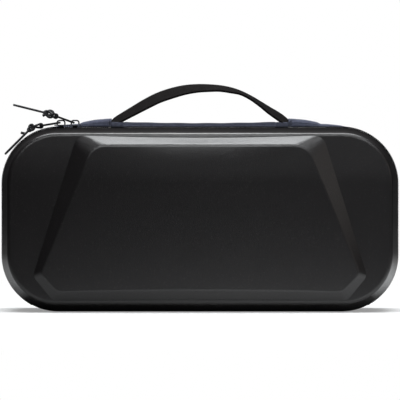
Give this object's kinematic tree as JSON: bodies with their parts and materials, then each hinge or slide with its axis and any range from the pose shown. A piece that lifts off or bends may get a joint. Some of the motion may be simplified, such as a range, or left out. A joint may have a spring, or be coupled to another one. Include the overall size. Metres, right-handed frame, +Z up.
{
  "type": "portable game console case",
  "caption": "Hard moulded zip-round case for a handheld game console, with a raised tapering front panel, cloth carry handle and corded zip pulls.",
  "frame": {"origin": "on the floor under the middle of the case as it stands on its hinge edge, in the parting plane of the two shells", "axes": "+X to the right as seen from the front, +Y from the front panel to the back, +Z up to the handle"},
  "size_m": [0.3198, 0.088, 0.1828],
  "materials": {
    "shell": "matte black coated foam with a fine grain",
    "welt": "matte black",
    "tape_cloth": "woven, dark navy",
    "zip_coil": "black nylon",
    "slider_metal": "semi-matte black paint",
    "cord": "black braided cord",
    "webbing": "black woven webbing",
    "patch_cloth": "navy cloth",
    "binding_cloth": "black grosgrain",
    "lining": "dark grey brushed lining over foam",
    "mesh": "black net"
  },
  "bodies": {
    "rear": {"rear_shell": "shell", "rear_piping": "welt", "rear_zip_tape": "tape_cloth", "rear_zip_coil": "zip_coil", "right_zip_stop": "slider_metal", "left_zip_stop": "slider_metal", "hinge_strip": "tape_cloth", "rear_binding": "binding_cloth", "handle_webbing": "webbing", "right_handle_patch": "patch_cloth", "left_handle_patch": "patch_cloth", "handle_strip": "patch_cloth", "cradle": "lining"},
    "lid": {"front_shell": "shell", "front_piping": "welt", "front_zip_tape": "tape_cloth", "front_zip_coil": "zip_coil", "front_binding": "binding_cloth", "mesh_pocket": "mesh", "mesh_hem": "binding_cloth"},
    "right_slider_body": {"right_slider": "slider_metal"},
    "right_pull": {"right_pull_tab": "slider_metal", "right_pull_knot": "cord", "right_pull_cord": "cord"},
    "left_slider_body": {"left_slider": "slider_metal"},
    "left_pull": {"left_pull_tab": "slider_metal", "left_pull_knot": "cord", "left_pull_cord": "cord"}
  },
  "joints": [
    {"name": "lid_hinge", "type": "hinge", "parent": "rear", "child": "lid", "pos_m": [0, 0, -0.0004], "axis": [1, 0, 0], "range_deg": [0, 180]},
    {"name": "right_slider_run", "type": "slide", "parent": "rear", "child": "right_slider_body", "axis": [1, 0, 0], "range_m": [0, 0.2]},
    {"name": "left_slider_run", "type": "hinge", "parent": "rear", "child": "left_slider_body", "pos_m": [-0.1135, 0, 0.102], "axis": [0, 1, 0], "range_deg": [-36, 0]},
    {"name": "right_tab_turn", "type": "hinge", "parent": "right_slider_body", "child": "right_pull", "pos_m": [-0.1017, 0, 0.15125], "axis": [0, 1, 0], "range_deg": [0, 115]},
    {"name": "left_tab_turn", "type": "hinge", "parent": "left_slider_body", "child": "left_pull", "pos_m": [-0.113, 0, 0.15125], "axis": [0, 1, 0], "range_deg": [0, 20]}
  ]
}
